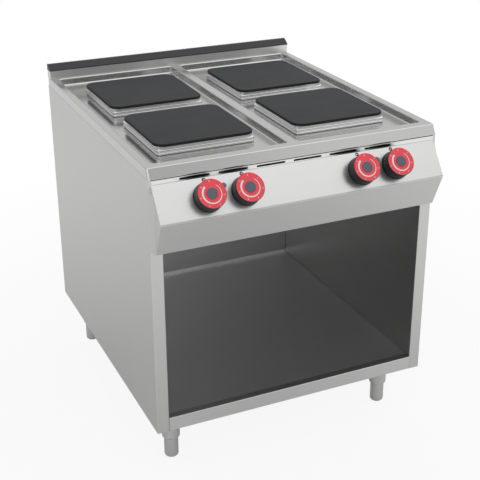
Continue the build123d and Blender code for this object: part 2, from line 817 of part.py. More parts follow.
def make_knob(x):
    """Knob shell with fluted sides, a seat for the dial and a hub for the spindle."""
    panel = panel_plane(x, KNOB_DROP)
    top = panel.offset(KNOB_HEIGHT)
    skirt_height = KNOB_SKIRT_HEIGHT - KNOB_GAP
    skirt_taper = math.degrees(math.atan((KNOB_SKIRT_RADIUS - KNOB_RADIUS) / skirt_height))
    with BuildPart() as knob:
        disc(panel.offset(KNOB_GAP), KNOB_RADIUS, KNOB_HEIGHT - KNOB_GAP)
        fillet(knob.edges().sort_by(Axis((0, 0, 0), panel.z_dir))[-1], KNOB_EDGE_ROUND)
        with BuildSketch(panel.offset(KNOB_SKIRT_HEIGHT)):
            with PolarLocations(KNOB_RADIUS + KNOB_FLUTE_RADIUS / 2, KNOB_RIBS):
                Circle(KNOB_FLUTE_RADIUS)
        extrude(amount=KNOB_HEIGHT - KNOB_SKIRT_HEIGHT - KNOB_WALL, mode=Mode.SUBTRACT)
        with BuildSketch(panel.offset(KNOB_GAP)):
            Circle(KNOB_SKIRT_RADIUS)
        extrude(amount=skirt_height, taper=skirt_taper)
        disc(top, DIAL_RADIUS, -DIAL_THICKNESS, Mode.SUBTRACT)
        disc(
            panel.offset(KNOB_GAP),
            KNOB_RADIUS - KNOB_WALL,
            KNOB_HEIGHT - KNOB_GAP - KNOB_TOP,
            Mode.SUBTRACT,
        )
        disc(panel.offset(KNOB_WALL), HUB_RADIUS, KNOB_HEIGHT - KNOB_TOP - KNOB_WALL)
        disc(
            panel.offset(KNOB_WALL),
            SPINDLE_RADIUS + SPINDLE_FIT,
            SPINDLE_INSERT - KNOB_WALL,
            Mode.SUBTRACT,
        )
    return knob.part


def make_knob_dial(x):
    """Marked ring that lies in the top of a knob."""
    seat = panel_plane(x, KNOB_DROP, KNOB_HEIGHT - DIAL_THICKNESS)
    with BuildPart() as dial:
        disc(seat, DIAL_RADIUS - DIAL_FIT, DIAL_THICKNESS)
        disc(seat, CAP_DISC_RADIUS + DIAL_FIT, DIAL_THICKNESS, Mode.SUBTRACT)
    return dial.part


def make_knob_cap(x):
    """Round cap in the middle of a dial."""
    seat = panel_plane(x, KNOB_DROP, KNOB_HEIGHT - DIAL_THICKNESS)
    with BuildPart() as cap:
        disc(seat, CAP_DISC_RADIUS, CAP_DISC_HEIGHT)
        fillet(cap.edges().sort_by(Axis((0, 0, 0), seat.z_dir))[-1], CAP_DISC_ROUND)
    return cap.part


def make_switch_spindle(x):
    """Spindle from inside a rotary switch to the hub of its knob."""
    with BuildPart() as spindle:
        disc(panel_plane(x, KNOB_DROP, -SPINDLE_DEPTH), SPINDLE_RADIUS, SPINDLE_DEPTH + SPINDLE_INSERT)
    return spindle.part


def make_switch_bracket():
    """Channel behind the panel, its flanges on the panel and its web under the switches."""
    section = [
        (-BRACKET_WIDTH / 2, -SHEET),
        (-BRACKET_WIDTH / 2, -BRACKET_DEPTH),
        (BRACKET_WIDTH / 2, -BRACKET_DEPTH),
        (BRACKET_WIDTH / 2, -SHEET),
    ]
    end = panel_plane(-BRACKET_END, KNOB_DROP)
    along = Plane(origin=end.origin, x_dir=end.y_dir, z_dir=(1, 0, 0))
    with BuildPart() as bracket:
        folded_sheet(along, section, 2 * BRACKET_END)
        for x in KNOB_X:
            disc(
                panel_plane(x, KNOB_DROP, -BRACKET_DEPTH),
                SWITCH_BUSH_RADIUS + BUSH_FIT,
                SHEET,
                Mode.SUBTRACT,
            )
    return bracket.part


def make_rotary_switches():
    """Four switch bodies behind the bracket, each with a bush for its spindle."""
    with BuildPart() as switches:
        for x in KNOB_X:
            back = panel_plane(x, KNOB_DROP, -BRACKET_DEPTH - SWITCH_DEPTH)
            with BuildSketch(back):
                RectangleRounded(SWITCH_SIZE, SWITCH_SIZE, SWITCH_CORNER)
            extrude(amount=SWITCH_DEPTH)
            disc(back.offset(SWITCH_DEPTH), SWITCH_BUSH_RADIUS, SWITCH_BUSH_LENGTH)
            disc(
                panel_plane(x, KNOB_DROP, -SPINDLE_DEPTH - SWITCH_END),
                SPINDLE_RADIUS + SPINDLE_FIT,
                SPINDLE_DEPTH,
                Mode.SUBTRACT,
            )
    return switches.part


def make_pilot_lamp(x):
    """Indicator: rim and domed lens in front of the panel, body behind it."""
    face = panel_plane(x, PILOT_DROP)
    with BuildPart() as lamp:
        disc(face, PILOT_RADIUS, PILOT_LENS_HEIGHT)
        fillet(lamp.edges().sort_by(Axis((0, 0, 0), face.z_dir))[-1], PILOT_RIM_HEIGHT)
        disc(face, PILOT_RIM_RADIUS, PILOT_RIM_HEIGHT)
        disc(face, PILOT_BODY_RADIUS, -PILOT_BODY_LENGTH)
    return lamp.part


# Mains connection

def make_cable_gland():
    """Gland through the underside of the rear channel, its mouth downwards."""
    seat = CEILING + SHEET
    with BuildPart() as gland:
        with BuildSketch(Plane((GLAND_X, GLAND_Y, seat - GLAND_BODY))):
            RegularPolygon(GLAND_HEX / 2, 6, major_radius=False)
        extrude(amount=GLAND_BODY)
        with BuildSketch(Plane((GLAND_X, GLAND_Y, seat + SHEET))):
            RegularPolygon(GLAND_HEX / 2, 6, major_radius=False)
        extrude(amount=GLAND_NUT)
        disc(Plane((GLAND_X, GLAND_Y, seat)), GLAND_THREAD_RADIUS, 2 * GLAND_NUT)
        disc(
            Plane((GLAND_X, GLAND_Y, seat - GLAND_BODY)),
            GLAND_BORE_RADIUS,
            GLAND_BODY + 2 * GLAND_NUT,
            Mode.SUBTRACT,
        )
    return gland.part


def make_terminal_block():
    """Mains terminals on the floor of the rear channel, one screw well for each pole."""
    seat = CEILING + 2 * SHEET
    pitch = BLOCK_LENGTH / BLOCK_POLES
    with BuildPart() as block:
        slab(
            (BLOCK_X - BLOCK_LENGTH / 2, BLOCK_X + BLOCK_LENGTH / 2),
            (GLAND_Y - BLOCK_DEPTH / 2, GLAND_Y + BLOCK_DEPTH / 2),
            (seat, seat + BLOCK_HEIGHT),
        )
        for pole in range(BLOCK_POLES):
            pole_x = BLOCK_X + (pole - (BLOCK_POLES - 1) / 2) * pitch
            disc(
                Plane((pole_x, GLAND_Y, seat + BLOCK_HEIGHT)),
                BLOCK_SCREW_RADIUS,
                -BLOCK_SCREW_DEPTH,
                Mode.SUBTRACT,
            )
    return block.part


os.makedirs("parts", exist_ok=True)

for name, left_part in (("side_panel", make_side_panel()), ("cheek", make_cheek())):
    save(left_part, f"{name}_left")
    save(mirror(left_part, about=Plane.YZ), f"{name}_right")

save(make_cabinet_floor(), "cabinet_floor")
save(make_back_panel(), "back_panel")
save(make_front_bottom_rail(), "front_bottom_rail")
save(make_front_top_rail(), "front_top_rail")
save(make_heat_shield(), "heat_shield")
save(make_rear_top_rail(), "rear_top_rail")
save(make_worktop(), "worktop")
save(make_splashback(), "splashback")
save(make_splashback_cap(), "splashback_cap")
save(make_plate_gaskets(), "plate_gaskets")
save(make_heating_elements(), "heating_elements")
save(make_vent_strip(), "vent_strip")
save(make_control_panel(), "control_panel")
save(make_front_skirt(), "front_skirt")
save(make_switch_bracket(), "switch_bracket")
save(make_rotary_switches(), "rotary_switches")
save(make_cable_gland(), "cable_gland")
save(make_terminal_block(), "terminal_block")
save(make_pilot_lamp(-PILOT_X), "pilot_lamp_left")
save(make_pilot_lamp(PILOT_X), "pilot_lamp_right")

for place, (leg_x, leg_y) in LEGS.items():
    save(make_leg_socket(leg_x, leg_y), f"leg_socket_{place}")
    save(make_leg_foot(leg_x, leg_y), f"leg_foot_{place}")

for place, (plate_x, plate_y) in PLATES.items():
    save(make_hot_plate(plate_x, plate_y), f"hot_plate_{place}")
    save(make_plate_frame(plate_x, plate_y), f"plate_frame_{place}")
    save(make_heater_pan(plate_x, plate_y), f"heater_pan_{place}")

for number, knob_x in enumerate(KNOB_X, start=1):
    save(make_knob(knob_x), f"knob_{number}")
    save(make_knob_dial(knob_x), f"knob_dial_{number}")
    save(make_knob_cap(knob_x), f"knob_cap_{number}")
    save(make_switch_spindle(knob_x), f"switch_spindle_{number}")
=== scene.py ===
"""Looks of an electric stove with four square hot plates over an open cabinet.

Lengths are in metres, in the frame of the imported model: the front faces -Y, the left
side as the user sees it -X, and the feet stand on z = 0.
"""

import json
import logging
import math
from dataclasses import dataclass
from enum import Enum
from typing import Any, Sequence, Union

import bmesh
import bpy
from mathutils import Matrix, Vector


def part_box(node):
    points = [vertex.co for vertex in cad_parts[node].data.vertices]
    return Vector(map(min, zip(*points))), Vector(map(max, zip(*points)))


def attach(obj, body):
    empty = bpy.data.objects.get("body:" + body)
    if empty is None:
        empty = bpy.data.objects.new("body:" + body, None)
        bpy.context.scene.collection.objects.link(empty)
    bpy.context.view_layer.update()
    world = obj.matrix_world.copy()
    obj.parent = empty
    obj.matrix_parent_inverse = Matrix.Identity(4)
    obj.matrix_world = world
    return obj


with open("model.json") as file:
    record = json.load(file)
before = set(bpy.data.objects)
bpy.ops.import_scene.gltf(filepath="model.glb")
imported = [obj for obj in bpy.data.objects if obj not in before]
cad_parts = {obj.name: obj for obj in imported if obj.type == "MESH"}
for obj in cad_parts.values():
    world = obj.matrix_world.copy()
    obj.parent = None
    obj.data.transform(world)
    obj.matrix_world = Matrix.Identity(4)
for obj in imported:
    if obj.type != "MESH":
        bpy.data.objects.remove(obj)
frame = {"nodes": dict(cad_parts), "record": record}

LOG = logging.getLogger("stove")
MILLIMETRE = 0.001
WELD = 0.00001
PLACES = ("front_left", "front_right", "rear_left", "rear_right")
KNOBS = (1, 2, 3, 4)
SIGN_ORDER = (2, 0, 1, 3)
HEXAGON = 6
FIGURE_STEPS = 4
Colour = tuple[float, float, float]
Number = Union[float, int, "Wire"]


# Shader tools

class Wire:
    """An output socket on which plain arithmetic adds Math nodes."""

    def __init__(self, shader: "Shader", socket: bpy.types.NodeSocket) -> None:
        """Keep the socket and the shader that it belongs to."""
        self.shader = shader
        self.socket = socket

    def _math(self, operation: str, first: Number, second: Number = 0.0) -> "Wire":
        """Add a Math node of two operands."""
        return self.shader.node("Math", {"operation": operation}, {0: first, 1: second})

    def __add__(self, other: Number) -> "Wire":
        """Sum of two values."""
        return self._math("ADD", self, other)

    def __sub__(self, other: Number) -> "Wire":
        """Difference of two values."""
        return self._math("SUBTRACT", self, other)

    def __mul__(self, other: Number) -> "Wire":
        """Product of two values."""
        return self._math("MULTIPLY", self, other)

    def __truediv__(self, other: Number) -> "Wire":
        """Quotient of two values."""
        return self._math("DIVIDE", self, other)

    def __radd__(self, other: Number) -> "Wire":
        """Sum with a plain number first."""
        return self._math("ADD", other, self)

    def __rsub__(self, other: Number) -> "Wire":
        """Difference with a plain number first."""
        return self._math("SUBTRACT", other, self)

    def __rmul__(self, other: Number) -> "Wire":
        """Product with a plain number first."""
        return self._math("MULTIPLY", other, self)

    def power(self, exponent: Number) -> "Wire":
        """This value raised to a power."""
        return self._math("POWER", self, exponent)

    def clamp(self) -> "Wire":
        """This value held between zero and one."""
        return self.shader.node("Clamp", {}, {"Value": self})

    def beside(self, output: str) -> "Wire":
        """Another output of the same node."""
        return Wire(self.shader, self.socket.node.outputs[output])


class Shader:
    """Builds the nodes of one material or world."""

    def __init__(self, owner: Union[bpy.types.Material, bpy.types.World], kind: str = "Material") -> None:
        """Start with an empty tree and its output.

        Args:
            owner: The material or world that the nodes belong to.
            kind: Word in its output node's type: Material or World.
        """
        self.owner = owner
        self.owner.use_nodes = True
        self.tree = self.owner.node_tree
        self.tree.nodes.clear()
        self.output = self.tree.nodes.new("ShaderNodeOutput" + kind)

    def node(self, kind: str, settings: dict[str, Any], inputs: dict[Any, Any],
             output: Union[str, int] = 0) -> Wire:
        """Add a node.

        Args:
            kind: The node's type without its ShaderNode prefix.
            settings: Properties of the node, set first.
            inputs: Value or Wire of each socket, by name or index.
            output: Name or index of the socket to return.

        Returns:
            The wanted output of the new node.
        """
        made = self.tree.nodes.new("ShaderNode" + kind)
        for key, value in settings.items():
            setattr(made, key, value)
        for key, value in inputs.items():
            if isinstance(value, Wire):
                self.tree.links.new(value.socket, made.inputs[key])
            else:
                made.inputs[key].default_value = value
        return Wire(self, made.outputs[output])

    def coordinates(self, scale: Sequence[float] = (1.0, 1.0, 1.0),
                    shift: Sequence[float] = (0.0, 0.0, 0.0)) -> Wire:
        """Object coordinates through a Mapping node.

        Args:
            scale: Scale along each axis.
            shift: Location that is added.

        Returns:
            The mapped vector.
        """
        place = self.node("TexCoord", {}, {}, "Object")
        return self.node("Mapping", {}, {"Vector": place, "Scale": scale, "Location": shift})

    def noise(self, vector: Wire, scale: float, detail: float = 2.0,
              roughness: float = 0.5) -> Wire:
        """Value of a noise texture around one half."""
        return self.node("TexNoise", {}, {
            "Vector": vector, "Scale": scale, "Detail": detail, "Roughness": roughness,
        }, "Fac")

    def blend(self, factor: Number, first: Union[Colour, Wire], second: Union[Colour, Wire]) -> Wire:
        """Mix of two colours by a factor."""
        def full(colour: Union[Colour, Wire]) -> Any:
            """A colour with its alpha, or the wire as it is."""
            return colour if isinstance(colour, Wire) else (*colour, 1.0)
        return self.node("Mix", {"data_type": "RGBA"}, {
            0: factor, 6: full(first), 7: full(second),
        }, 2)

    def bump(self, height: Wire, distance: float, strength: float) -> Wire:
        """Normal that a height field gives."""
        return self.node("Bump", {}, {
            "Height": height, "Distance": distance, "Strength": strength,
        }, "Normal")

    def principled(self, **inputs: Any) -> Wire:
        """Principled surface, its sockets named with underscores for blanks."""
        return self.node("BsdfPrincipled", {}, {
            key.replace("_", " "): value for key, value in inputs.items()
        }, "BSDF")

    def finish(self, surface: Wire) -> Union[bpy.types.Material, bpy.types.World]:
        """Link the surface to the output and hand over the owner of the nodes."""
        self.tree.links.new(surface.socket, self.output.inputs["Surface"])
        return self.owner


class Grain(Enum):
    """Direction in which a sheet was brushed, as the scale of its streaks."""

    ALONG_X = (6.0, 700.0, 700.0)
    ALONG_Z = (700.0, 700.0, 6.0)


# Finishes

@dataclass(frozen=True)
class BrushedSteel:
    """Satin stainless sheet with fine streaks, faint clouding and handling marks."""

    name: str
    grain: Grain
    tone: Colour
    roughness: float
    streaks: float = 0.05
    clouding: float = 0.04
    relief: float = 0.3
    wear: float = 1.0
    cloud_scale: float = 4.0
    smear_scale: float = 38.0
    streak_wear: float = 0.28
    smear_wear: float = 0.14
    cloud_wear: float = 0.18
    relief_depth: float = 0.03 * MILLIMETRE

    def build(self) -> bpy.types.Material:
        """Make the material.

        Returns:
            The new material.
        """
        shader = Shader(bpy.data.materials.new(self.name))
        streak = shader.noise(shader.coordinates(self.grain.value), 1.0, detail=3.0, roughness=0.6)
        cloud = shader.noise(shader.coordinates(), self.cloud_scale, detail=3.0)
        smear = shader.noise(shader.coordinates(), self.smear_scale, detail=4.0, roughness=0.6)
        level = 1.0 + (streak - 0.5) * (2.0 * self.streaks) + (cloud - 0.5) * self.clouding
        colour = shader.node("VectorMath", {"operation": "SCALE"}, {
            0: self.tone, "Scale": level,
        })
        marks = (streak - 0.5) * self.streak_wear + (smear - 0.5) * self.smear_wear
        wear = marks + (cloud - 0.5) * self.cloud_wear
        rough = self.roughness * (1.0 + wear * self.wear)
        inputs: dict[str, Any] = {"Base_Color": colour, "Metallic": 1.0, "Roughness": rough}
        if self.relief:
            inputs["Normal"] = shader.bump(streak, self.relief_depth, self.relief)
        return shader.finish(shader.principled(**inputs))


@dataclass(frozen=True)
class CastPlate:
    """Blackened cast iron with a machined top and a darker band along its edge."""

    name: str
    centre: tuple[float, float]
    half: float
    tone: Colour = (0.017, 0.0185, 0.0215)
    border: Colour = (0.009, 0.010, 0.011)
    border_width: float = 10.0 * MILLIMETRE
    border_fade: float = 6.0 * MILLIMETRE
    worn_tone: float = 1.35
    worn_start: float = 0.35
    worn_gain: float = 0.9
    roughness: float = 0.54
    cloud_wear: float = 0.12
    pit_wear: float = 0.08
    cloud_scale: float = 9.0
    pit_scale: float = 900.0
    pit_depth: float = 0.05 * MILLIMETRE
    pit_relief: float = 0.3
    shine: float = 0.3

    def build(self) -> bpy.types.Material:
        """Make the material.

        Returns:
            The new material.
        """
        shader = Shader(bpy.data.materials.new(self.name))
        place = shader.coordinates(shift=(-self.centre[0], -self.centre[1], 0.0))
        pits = shader.noise(place, self.pit_scale, detail=3.0, roughness=0.6)
        cloud = shader.noise(place, self.cloud_scale, detail=4.0, roughness=0.55)
        axes = shader.node("SeparateXYZ", {}, {0: place}, "X")
        across = shader.node("Math", {"operation": "ABSOLUTE"}, {0: axes})
        along = shader.node("Math", {"operation": "ABSOLUTE"}, {0: axes.beside("Y")})
        edge = shader.node("Math", {"operation": "MAXIMUM"}, {0: across, 1: along})
        rim = ((edge - (self.half - self.border_width)) / self.border_fade).clamp()
        paler = tuple(part * self.worn_tone for part in self.tone)
        worn = shader.blend((cloud - self.worn_start) * self.worn_gain, self.tone, paler)
        colour = shader.blend(rim, worn, self.border)
        rough = self.roughness + (cloud - 0.5) * self.cloud_wear + (pits - 0.5) * self.pit_wear
        normal = shader.bump(pits, self.pit_depth, self.pit_relief)
        return shader.finish(shader.principled(
            Base_Color=colour, Roughness=rough, Specular_IOR_Level=self.shine, Normal=normal,
        ))


@dataclass(frozen=True)
class MouldedPlastic:
    """Moulded plastic with a fine texture and slight shade changes."""

    name: str
    tone: Colour
    roughness: float
    shine: float = 0.5
    shade: float = 0.86
    grain_scale: float = 2200.0
    cloud_scale: float = 30.0
    grain_wear: float = 0.12
    cloud_wear: float = 0.06
    grain_depth: float = 0.03 * MILLIMETRE
    grain_relief: float = 0.4

    def build(self) -> bpy.types.Material:
        """Make the material.

        Returns:
            The new material.
        """
        shader = Shader(bpy.data.materials.new(self.name))
        place = shader.coordinates()
        grain = shader.noise(place, self.grain_scale)
        cloud = shader.noise(place, self.cloud_scale, detail=3.0)
        darker = tuple(part * self.shade for part in self.tone)
        colour = shader.blend(cloud, self.tone, darker)
        rough = self.roughness + (grain - 0.5) * self.grain_wear + (cloud - 0.5) * self.cloud_wear
        normal = shader.bump(grain, self.grain_depth, self.grain_relief)
        return shader.finish(shader.principled(
            Base_Color=colour, Roughness=rough, Normal=normal, Specular_IOR_Level=self.shine,
        ))


ZINC = BrushedSteel("zinc_plate", Grain.ALONG_Z, (0.55, 0.56, 0.58), 0.35)
BRASS = BrushedSteel("terminal_brass", Grain.ALONG_Z, (0.62, 0.46, 0.20), 0.34)


# View and studio

@dataclass(frozen=True)
class PhotoView:
    """Camera of the photograph, as worked out from the stove's edges."""

    place: tuple[float, float, float] = (-1.1195, -2.5166, 1.7105)
    azimuth: float = -24.43
    elevation: float = 23.38
    roll: float = -0.21
    focal_pixels: float = 1022.91
    centre: tuple[float, float] = (241.03, 221.30)
    frame_pixels: float = 480.0
    sensor: float = 36.0
    clip_start: float = 0.05

    def build(self) -> bpy.types.Object:
        """Create the camera and make it the scene's own.

        Returns:
            The camera object.
        """
        data = bpy.data.cameras.new("photo_view")
        data.sensor_width = self.sensor
        data.lens = self.focal_pixels * self.sensor / self.frame_pixels
        data.shift_x = (self.frame_pixels / 2 - self.centre[0]) / self.frame_pixels
        data.shift_y = (self.centre[1] - self.frame_pixels / 2) / self.frame_pixels
        data.clip_start = self.clip_start
        camera = bpy.data.objects.new("photo_view", data)
        bpy.context.scene.collection.objects.link(camera)
        turn = math.radians(self.azimuth)
        rise = math.radians(self.elevation)
        back = Vector((
            math.sin(turn) * math.cos(rise), -math.cos(turn) * math.cos(rise), math.sin(rise),
        ))
        right = (-back).cross(Vector((0, 0, 1))).normalized()
        up = back.cross(right)
        rotation = Matrix((right, up, back)).transposed()
        tilt = Matrix.Rotation(math.radians(self.roll), 3, "Z")
        camera.matrix_world = Matrix.Translation(self.place) @ (rotation @ tilt).to_4x4()
        bpy.context.scene.camera = camera
        return camera


@dataclass(frozen=True)
class Lamp:
    """One soft area lamp that looks at the stove."""

    name: str
    place: tuple[float, float, float]
    size: float
    power: float
    target: tuple[float, float, float] = (0.0, 0.0, 0.6)

    def build(self) -> bpy.types.Object:
        """Create the lamp.

        Returns:
            The lamp object.
        """
        data = bpy.data.lights.new(self.name, "AREA")
        data.shape = "DISK"
        data.size = self.size
        data.energy = self.power
        lamp = bpy.data.objects.new(self.name, data)
        bpy.context.scene.collection.objects.link(lamp)
        lamp.location = self.place
        aim = Vector(self.target) - Vector(self.place)
        lamp.rotation_euler = aim.to_track_quat("-Z", "Y").to_euler()
        return lamp


@dataclass(frozen=True)
class Surround:
    """Light from all round: an even glow, brighter high in front, and a band at each side."""

    glow: float = 0.66
    level: float = 0.53
    front_rise: float = 0.32
    front_edge: tuple[float, float] = (0.35, 0.46)
    ahead_edge: tuple[float, float] = (0.0, 0.2)
    rear_rise: float = 0.20
    rear_edge: tuple[float, float] = (0.2, 0.6)
    patch_rise: float = 0.74
    patch: tuple[float, float, float] = (0.20, -0.30, 0.933)
    patch_edge: tuple[float, float] = (0.82, 0.93)
    band_rise: float = 1.5
    band_aims: tuple[tuple[float, float, float], ...] = ((-0.91, -0.414, 0.0), (0.91, 0.414, 0.0))
    band_edge: tuple[float, float] = (0.984, 0.994)
    band_heights: tuple[float, float] = (0.24, 0.56)
    band_fade: float = 0.06

    def build(self) -> bpy.types.World:
        """Make the world, white to the camera and glass, and softly shaded to metal.

        Returns:
            The scene's world.
        """
        shader = Shader(bpy.data.worlds.new("studio_surround"), "World")
        heading = shader.node("TexCoord", {}, {}, "Generated")
        shine = self.level + self._front(shader, heading) + self._bands(shader, heading)
        seen = shader.node("LightPath", {}, {}, "Is Camera Ray")
        glossy = seen.beside("Is Glossy Ray")
        glass = seen.beside("Is Transmission Ray")
        lit = glossy * shine + (1.0 - glossy) * self.glow
        clear = (seen + glass).clamp()
        level = clear + (1.0 - clear) * lit
        world = shader.finish(shader.node("Background", {}, {
            "Color": (1.0, 1.0, 1.0, 1.0), "Strength": level,
        }))
        bpy.context.scene.world = world
        return world

    @staticmethod
    def _towards(shader: Shader, heading: Wire, aim: tuple[float, float, float]) -> Wire:
        """Cosine between a heading and an aim."""
        return shader.node("VectorMath", {"operation": "DOT_PRODUCT"}, {0: heading, 1: aim}, "Value")

    @staticmethod
    def _ramp(value: Wire, edge: tuple[float, float]) -> Wire:
        """Zero below an edge, one above it and even between."""
        return ((value - edge[0]) / (edge[1] - edge[0])).clamp()

    def _front(self, shader: Shader, heading: Wire) -> Wire:
        """Extra light from the front right, the rear, and the patch high in front."""
        axes = shader.node("SeparateXYZ", {}, {0: heading}, "X")
        ahead = self._ramp(axes.beside("Y") * -1.0, self.ahead_edge)
        behind = self._ramp(axes.beside("Y"), self.rear_edge) * self.rear_rise
        patch = self._ramp(self._towards(shader, heading, self.patch), self.patch_edge)
        right = self._ramp(axes, self.front_edge) * ahead * self.front_rise
        return right + behind + patch * self.patch_rise

    def _bands(self, shader: Shader, heading: Wire) -> Wire:
        """Two bright bands low at the sides, which upright corners mirror."""
        height = shader.node("SeparateXYZ", {}, {0: heading}, "Z")
        low, high = self.band_heights
        above = self._ramp(height, (low, low + self.band_fade))
        below = self._ramp(height * -1.0, (-high, self.band_fade - high))
        level = (1.0 - height * height).power(0.5)
        left, right = (
            self._ramp(self._towards(shader, heading, aim) / level, self.band_edge)
            for aim in self.band_aims
        )
        return (left + right) * above * below * self.band_rise


@dataclass(frozen=True)
class Floor:
    """Pale floor that fades to white away from the stove and keeps a faint shadow."""

    size: float = 30.0
    tone: Colour = (0.90, 0.90, 0.90)
    near_white: float = 0.88
    fade_start: float = 0.75
    fade_length: float = 1.3
    mirror_white: float = 0.45
    ahead_white: float = 0.35

    def build(self) -> bpy.types.Object:
        """Lay the floor.

        Returns:
            The floor object.
        """
        builder = bmesh.new()
        bmesh.ops.create_grid(builder, x_segments=1, y_segments=1, size=self.size / 2)
        mesh = bpy.data.meshes.new("studio_floor")
        builder.to_mesh(mesh)
        builder.free()
        floor = bpy.data.objects.new("studio_floor", mesh)
        bpy.context.scene.collection.objects.link(floor)
        mesh.materials.append(self._paint())
        return floor

    def _paint(self) -> bpy.types.Material:
        """Matt paint, mixed with plain white as the camera and metal see it."""
        shader = Shader(bpy.data.materials.new("studio_floor"))
        place = shader.coordinates()
        reach = shader.node("VectorMath", {"operation": "LENGTH"}, {0: place}, "Value")
        ahead = (shader.node("SeparateXYZ", {}, {0: place}, "Y") * -1.0).clamp()
        far = ((reach - self.fade_start) / self.fade_length).clamp()
        seen = shader.node("LightPath", {}, {}, "Is Camera Ray")
        clear = (seen + seen.beside("Is Transmission Ray")).clamp()
        glossy = seen.beside("Is Glossy Ray")
        mirrored = glossy * far * (self.mirror_white + ahead * self.ahead_white)
        share = clear * (self.near_white + far * (1.0 - self.near_white)) + mirrored
        matt = shader.node("BsdfDiffuse", {}, {"Color": (*self.tone, 1.0)})
        white = shader.node("Emission", {}, {"Color": (1.0, 1.0, 1.0, 1.0), "Strength": 1.0})
        return shader.finish(shader.node("MixShader", {}, {0: share, 1: matt, 2: white}))


@dataclass(frozen=True)
class Studio:
    """Camera, surround, floor and lamps."""

    lamps: tuple[Lamp, ...] = (
        Lamp("key_lamp", (-1.4, -2.8, 3.4), 2.2, 12.0),
        Lamp("fill_lamp", (3.4, -0.6, 3.2), 2.6, 12.0),
    )

    def build(self) -> None:
        """Set the studio up."""
        PhotoView().build()
        Surround().build()
        Floor().build()
        for lamp in self.lamps:
            lamp.build()
        bpy.context.scene.view_settings.view_transform = "Standard"


# Making of pieces

def dress(material: bpy.types.Material, *nodes: str) -> None:
    """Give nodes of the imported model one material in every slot.

    Args:
        material: The finish.
        nodes: Names of the nodes that get it.
    """
    for node in nodes:
        piece = frame["nodes"][node]
        if not piece.material_slots:
            piece.data.materials.append(material)
        for slot in piece.material_slots:
            slot.material = material
        LOG.info("%s wears %s", node, material.name)


def furnish(name: str, builder: bmesh.types.BMesh, material: bpy.types.Material,
            body: str) -> bpy.types.Object:
    """Turn a finished bmesh into a piece that rides on a body.

    Args:
        name: Name of the piece.
        builder: Its shape, at its place in the stove. It is freed here.
        material: The finish.
        body: Body that carries the piece.

    Returns:
        The new object.
    """
    bmesh.ops.remove_doubles(builder, verts=builder.verts[:], dist=WELD)
    bmesh.ops.recalc_face_normals(builder, faces=builder.faces[:])
    mesh = bpy.data.meshes.new(name)
    builder.to_mesh(mesh)
    builder.free()
    mesh.materials.append(material)
    piece = bpy.data.objects.new(name, mesh)
    bpy.context.scene.collection.objects.link(piece)
    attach(piece, body)
    LOG.info("%s rides on %s with %d faces", name, body, len(mesh.polygons))
    return piece


def settle(builder: bmesh.types.BMesh, shape: bmesh.types.BMesh, place: Matrix) -> None:
    """Move a shape to its place and join it to a piece.

    Args:
        builder: Bmesh of the piece.
        shape: Bmesh of the shape, made about the origin. It is freed here.
        place: Matrix from the shape to the stove.
    """
    bmesh.ops.remove_doubles(shape, verts=shape.verts[:], dist=WELD)
    bmesh.ops.transform(shape, matrix=place, verts=shape.verts[:])
    mesh = bpy.data.meshes.new("shape")
    shape.to_mesh(mesh)
    shape.free()
    builder.from_mesh(mesh)
    bpy.data.meshes.remove(mesh)


def lathe(builder: bmesh.types.BMesh, profile: Sequence[tuple[float, float]], place: Matrix,
          steps: int = 32) -> None:
    """Turn a profile about the Z axis of a place.

    Args:
        builder: Bmesh that gets the shape.
        profile: Radius and height of each point, from one end of the axis to the other.
        place: Where the axis stands in the stove.
        steps: Number of steps round the axis.
    """
    shape = bmesh.new()
    points = [shape.verts.new((radius, 0.0, height)) for radius, height in profile]
    edges = [shape.edges.new(pair) for pair in zip(points, points[1:])]
    bmesh.ops.spin(
        shape, geom=points + edges, cent=(0, 0, 0), axis=(0, 0, 1), angle=math.tau,
        steps=steps, use_merge=True, use_duplicate=False,
    )
    settle(builder, shape, place)


def stud(builder: bmesh.types.BMesh, sides: int, radius: float, height: float, edge: float,
         place: Matrix) -> None:
    """Add an upright prism with softened ends, such as a nut or the head of a screw.

    Args:
        builder: Bmesh that gets the shape.
        sides: Number of its sides.
        radius: Distance from the axis to a corner.
        height: Height over the place.
        edge: Width of the bevel on its top edges.
        place: Where its foot stands in the stove.
    """
    shape = bmesh.new()
    bmesh.ops.create_circle(shape, cap_ends=True, segments=sides, radius=radius)
    top = bmesh.ops.extrude_face_region(shape, geom=shape.faces[:])["geom"]
    raised = [item for item in top if isinstance(item, bmesh.types.BMVert)]
    bmesh.ops.translate(shape, verts=raised, vec=(0.0, 0.0, height))
    rim = [item for item in top if isinstance(item, bmesh.types.BMEdge)]
    bmesh.ops.bevel(
        shape, geom=rim, offset=edge, offset_type="OFFSET", segments=2, profile=0.5,
        affect="EDGES", material=-1,
    )
    settle(builder, shape, place)


def words(builder: bmesh.types.BMesh, text: str, height: float, thickness: float,
          place: Matrix) -> None:
    """Add plain figures, raised over a place.

    Args:
        builder: Bmesh that gets the shape.
        text: The figures.
        height: Size of the type.
        thickness: How far the figures stand up.
        place: Middle of the figures in the stove, its Y axis up the figures.
    """
    curve = bpy.data.curves.new("figures", "FONT")
    curve.body = text
    curve.size = height
    curve.align_x = "CENTER"
    curve.align_y = "CENTER"
    curve.extrude = thickness / 2
    curve.resolution_u = FIGURE_STEPS
    holder = bpy.data.objects.new("figures", curve)
    bpy.context.scene.collection.objects.link(holder)
    mesh = bpy.data.meshes.new_from_object(holder)
    bpy.data.objects.remove(holder)
    bpy.data.curves.remove(curve)
    mesh.transform(place @ Matrix.Translation((0.0, 0.0, thickness / 2)))
    builder.from_mesh(mesh)
    bpy.data.meshes.remove(mesh)


